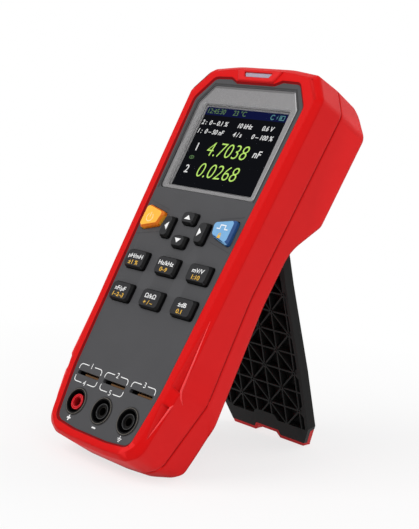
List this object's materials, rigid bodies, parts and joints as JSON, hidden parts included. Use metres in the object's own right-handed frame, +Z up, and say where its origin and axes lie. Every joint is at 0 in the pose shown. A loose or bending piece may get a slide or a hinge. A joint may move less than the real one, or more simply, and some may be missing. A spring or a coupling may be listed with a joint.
{
  "type": "handheld component tester",
  "caption": "Handheld bench meter for measuring components, with colour display, keypad, test slots and banana sockets, leaning on a ribbed folding kickstand.",
  "frame": {"origin": "centre of the footprint, on the bench surface that the meter's lower rear edge and stand foot rest on", "axes": "+Z up, +X to the right seen from the front, so the display faces -Y and upwards"},
  "size_m": [0.0912, 0.1208, 0.1822],
  "materials": {
    "shell_red": "satin moulded rubber-feel plastic",
    "panel_grey": "fine matte",
    "bezel_silver": "satin silver paint",
    "window_clear": "polished",
    "lcd_black": "gloss",
    "board_green": "solder mask",
    "screw_steel": "zinc plated",
    "switch_black": "matte",
    "socket_black": "satin",
    "socket_red": "satin",
    "contact_brass": "plated",
    "lens_frosted": "frosted light pipe",
    "shield_tin": "tinned sheet",
    "battery_wrap": "shrink wrap",
    "stand_black": "fine matte",
    "foot_red": "matte rubber",
    "key_orange": "satin",
    "key_blue": "satin",
    "key_black": "satin"
  },
  "bodies": {
    "meter": {"battery_cover": "shell_red", "battery_pack": "battery_wrap", "battery_screws": "screw_steel", "board_screws": "screw_steel", "buzzer": "switch_black", "case_screws": "screw_steel", "circuit_board": "board_green", "display_bezel": "bezel_silver", "display_window": "window_clear", "front_panel": "panel_grey", "front_shell": "shell_red", "indicator_led": "lcd_black", "indicator_lens": "lens_frosted", "jack_insert_black": "socket_black", "jack_insert_guard": "socket_black", "jack_insert_red": "socket_red", "jack_sleeves": "contact_brass", "key_switches": "switch_black", "lcd_module": "lcd_black", "rear_cover": "shell_red", "shield_can": "shield_tin", "slot_block": "socket_black", "slot_contacts": "contact_brass", "stand_pin": "screw_steel"},
    "stand": {"stand": "stand_black", "stand_foot": "foot_red"},
    "down_key": {"down_key": "key_black"},
    "function_key_1": {"function_key_1": "key_black"},
    "function_key_2": {"function_key_2": "key_black"},
    "function_key_3": {"function_key_3": "key_black"},
    "function_key_4": {"function_key_4": "key_black"},
    "function_key_5": {"function_key_5": "key_black"},
    "function_key_6": {"function_key_6": "key_black"},
    "left_key": {"left_key": "key_black"},
    "power_key": {"power_key": "key_orange"},
    "right_key": {"right_key": "key_black"},
    "trigger_key": {"trigger_key": "key_blue"},
    "up_key": {"up_key": "key_black"}
  },
  "joints": [
    {"name": "stand_hinge", "type": "hinge", "parent": "meter", "child": "stand", "pos_m": [0, 0.02391, 0.11065], "axis": [-1, 0, 0], "range_deg": [0, 44.9]},
    {"name": "down_key_press", "type": "slide", "parent": "meter", "child": "down_key", "axis": [0, 0.8829, -0.4695], "range_m": [0, 0.001], "stiffness_N_per_m": 900, "springref_m": -0.0004},
    {"name": "function_key_1_press", "type": "slide", "parent": "meter", "child": "function_key_1", "axis": [0, 0.8829, -0.4695], "range_m": [0, 0.001], "stiffness_N_per_m": 900, "springref_m": -0.0004},
    {"name": "function_key_2_press", "type": "slide", "parent": "meter", "child": "function_key_2", "axis": [0, 0.8829, -0.4695], "range_m": [0, 0.001], "stiffness_N_per_m": 900, "springref_m": -0.0004},
    {"name": "function_key_3_press", "type": "slide", "parent": "meter", "child": "function_key_3", "axis": [0, 0.8829, -0.4695], "range_m": [0, 0.001], "stiffness_N_per_m": 900, "springref_m": -0.0004},
    {"name": "function_key_4_press", "type": "slide", "parent": "meter", "child": "function_key_4", "axis": [0, 0.8829, -0.4695], "range_m": [0, 0.001], "stiffness_N_per_m": 900, "springref_m": -0.0004},
    {"name": "function_key_5_press", "type": "slide", "parent": "meter", "child": "function_key_5", "axis": [0, 0.8829, -0.4695], "range_m": [0, 0.001], "stiffness_N_per_m": 900, "springref_m": -0.0004},
    {"name": "function_key_6_press", "type": "slide", "parent": "meter", "child": "function_key_6", "axis": [0, 0.8829, -0.4695], "range_m": [0, 0.001], "stiffness_N_per_m": 900, "springref_m": -0.0004},
    {"name": "left_key_press", "type": "slide", "parent": "meter", "child": "left_key", "axis": [0, 0.8829, -0.4695], "range_m": [0, 0.001], "stiffness_N_per_m": 900, "springref_m": -0.0004},
    {"name": "power_key_press", "type": "slide", "parent": "meter", "child": "power_key", "axis": [0, 0.8829, -0.4695], "range_m": [0, 0.001], "stiffness_N_per_m": 900, "springref_m": -0.0004},
    {"name": "right_key_press", "type": "slide", "parent": "meter", "child": "right_key", "axis": [0, 0.8829, -0.4695], "range_m": [0, 0.001], "stiffness_N_per_m": 900, "springref_m": -0.0004},
    {"name": "trigger_key_press", "type": "slide", "parent": "meter", "child": "trigger_key", "axis": [0, 0.8829, -0.4695], "range_m": [0, 0.001], "stiffness_N_per_m": 900, "springref_m": -0.0004},
    {"name": "up_key_press", "type": "slide", "parent": "meter", "child": "up_key", "axis": [0, 0.8829, -0.4695], "range_m": [0, 0.001], "stiffness_N_per_m": 900, "springref_m": -0.0004}
  ]
}
